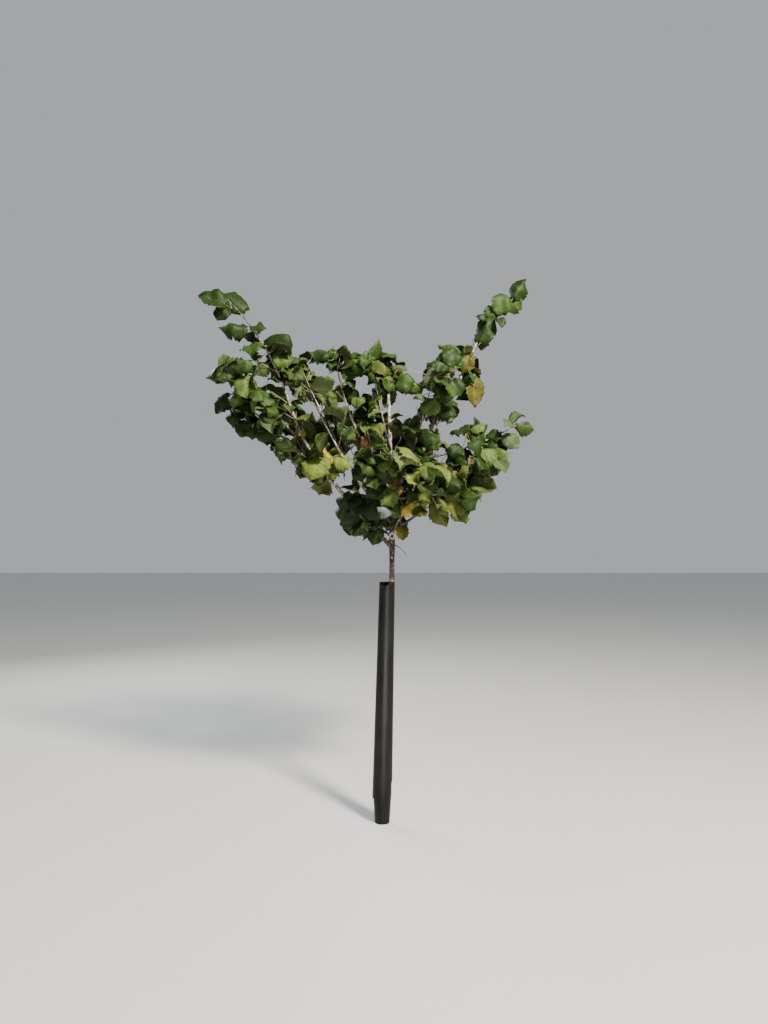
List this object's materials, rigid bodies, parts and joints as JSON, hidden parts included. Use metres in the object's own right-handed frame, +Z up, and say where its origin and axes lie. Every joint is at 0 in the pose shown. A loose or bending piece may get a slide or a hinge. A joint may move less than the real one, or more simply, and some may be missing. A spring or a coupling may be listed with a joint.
{
  "type": "young hazel tree with trunk guard",
  "caption": "Young hazel with a slim leaning trunk in a rolled black guard, a vase-shaped crown of broad drooping leaves, and two long shoots rising above it.",
  "frame": {"origin": "centre of the flat cut under the trunk, at ground level", "axes": "+Z up, +X to the right as the picture shows the tree, +Y away from the viewer"},
  "size_m": [1.7481, 1.1536, 2.8083],
  "materials": {
    "bark": "rough grey-brown bark",
    "foliage": "matte green leaves",
    "guard_sheet": "satin black sheet"
  },
  "bodies": {
    "root": {"bough_back_left": "bark", "bough_back_low": "bark", "bough_back_mid": "bark", "bough_back_right": "bark", "bough_front_low": "bark", "bough_front_mid": "bark", "bough_front_top": "bark", "bough_left_back": "bark", "bough_left_foot": "bark", "bough_left_front": "bark", "bough_left_inner": "bark", "bough_left_long": "bark", "bough_left_low": "bark", "bough_left_out": "bark", "bough_left_under": "bark", "bough_low_twig": "bark", "bough_right_back": "bark", "bough_right_front": "bark", "bough_right_inner": "bark", "bough_right_long": "bark", "bough_right_low": "bark", "bough_right_out": "bark", "guard_lower": "guard_sheet", "guard_upper": "guard_sheet", "leaves_back_left": "foliage", "leaves_back_low": "foliage", "leaves_back_mid": "foliage", "leaves_back_right": "foliage", "leaves_front_low": "foliage", "leaves_front_mid": "foliage", "leaves_front_top": "foliage", "leaves_leader": "foliage", "leaves_left_back": "foliage", "leaves_left_foot": "foliage", "leaves_left_front": "foliage", "leaves_left_inner": "foliage", "leaves_left_long": "foliage", "leaves_left_low": "foliage", "leaves_left_out": "foliage", "leaves_left_under": "foliage", "leaves_right_back": "foliage", "leaves_right_front": "foliage", "leaves_right_inner": "foliage", "leaves_right_long": "foliage", "leaves_right_low": "foliage", "leaves_right_out": "foliage", "trunk_foot": "bark", "trunk_lower": "bark", "trunk_middle": "bark", "trunk_upper": "bark"}
  },
  "joints": []
}
